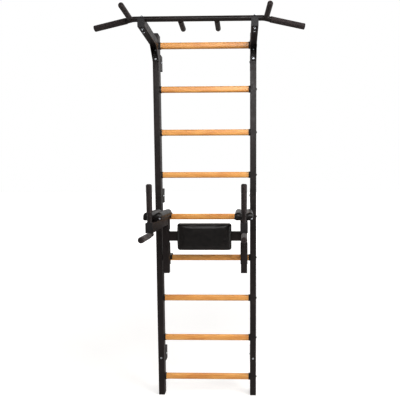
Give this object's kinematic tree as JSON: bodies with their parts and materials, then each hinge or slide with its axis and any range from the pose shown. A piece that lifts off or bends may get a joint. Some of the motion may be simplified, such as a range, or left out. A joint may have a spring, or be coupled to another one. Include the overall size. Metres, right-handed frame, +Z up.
{
  "type": "wall bars with pull-up bar and dip station",
  "caption": "Tall steel-framed wall ladder with wooden rungs, a forward pull-up bar with angled ends and grips, and a lift-off dip station with backrest.",
  "frame": {"origin": "on the floor, in the plane of the wall, midway between the two uprights", "axes": "+Z up along the uprights, +Y into the wall, +X to the right as seen by the user facing the wall"},
  "size_m": [1.199, 0.875, 2.42],
  "materials": {
    "black_powder_coat": "satin, finely pebbled powder coat on steel",
    "beech": "clear-lacquered steamed beech, grain along the rung",
    "zinc_plated_steel": "bright zinc plate",
    "black_plastic": "moulded, fine matt texture",
    "grip_rubber": "dense foam rubber with a fine open grain",
    "black_upholstery": "semi-gloss artificial leather",
    "plywood": "sanded birch plywood"
  },
  "bodies": {
    "ladder": {"left_upright_lower": "black_powder_coat", "left_upright_upper": "black_powder_coat", "right_upright_lower": "black_powder_coat", "right_upright_upper": "black_powder_coat", "upright_splices": "zinc_plated_steel", "upright_top_caps": "black_plastic", "floor_feet": "black_plastic", "rung_1": "beech", "rung_2": "beech", "rung_3": "beech", "rung_4": "beech", "rung_5": "beech", "rung_6": "beech", "rung_7": "beech", "rung_8": "beech", "rung_9": "beech", "rung_cups": "black_plastic", "rung_bolts": "black_powder_coat", "wall_bracket_lower_left": "black_powder_coat", "wall_bracket_lower_right": "black_powder_coat", "wall_bracket_middle_left": "black_powder_coat", "wall_bracket_middle_right": "black_powder_coat", "wall_bracket_upper_left": "black_powder_coat", "wall_bracket_upper_right": "black_powder_coat", "post_brackets": "black_powder_coat", "bracket_bolts": "zinc_plated_steel", "left_pull_up_arm": "black_powder_coat", "right_pull_up_arm": "black_powder_coat", "left_arm_mount": "black_powder_coat", "right_arm_mount": "black_powder_coat", "arm_end_plugs": "black_plastic", "arm_bolts": "zinc_plated_steel", "pull_up_bar": "black_powder_coat", "bar_clamp_bolts": "zinc_plated_steel", "bar_end_sleeves": "grip_rubber", "bar_end_caps": "black_plastic", "outer_grip_tubes": "black_powder_coat", "outer_grip_sleeves": "grip_rubber", "inner_grip_tubes": "black_powder_coat", "inner_grip_sleeves": "grip_rubber"},
    "dip_station": {"left_dip_tube": "black_powder_coat", "right_dip_tube": "black_powder_coat", "dip_tube_plugs": "black_plastic", "upper_hooks": "black_powder_coat", "lower_hooks": "black_powder_coat", "hook_liners": "black_plastic", "dip_frame_bolts": "black_powder_coat", "dip_cross_beam": "black_powder_coat", "backrest_board": "plywood", "backrest_cushion": "black_upholstery", "upholstery_screws": "zinc_plated_steel", "left_dip_arm": "black_powder_coat", "right_dip_arm": "black_powder_coat", "hand_grip_tubes": "black_powder_coat", "hand_grip_sleeves": "grip_rubber", "lower_handle_sleeves": "grip_rubber", "pad_brackets": "black_powder_coat", "pad_boards": "plywood", "left_arm_pad": "black_upholstery", "right_arm_pad": "black_upholstery"}
  },
  "joints": [
    {"name": "dip_station_lift", "type": "slide", "parent": "ladder", "child": "dip_station", "axis": [0, 0, 1], "range_m": [0, 0.06]}
  ]
}
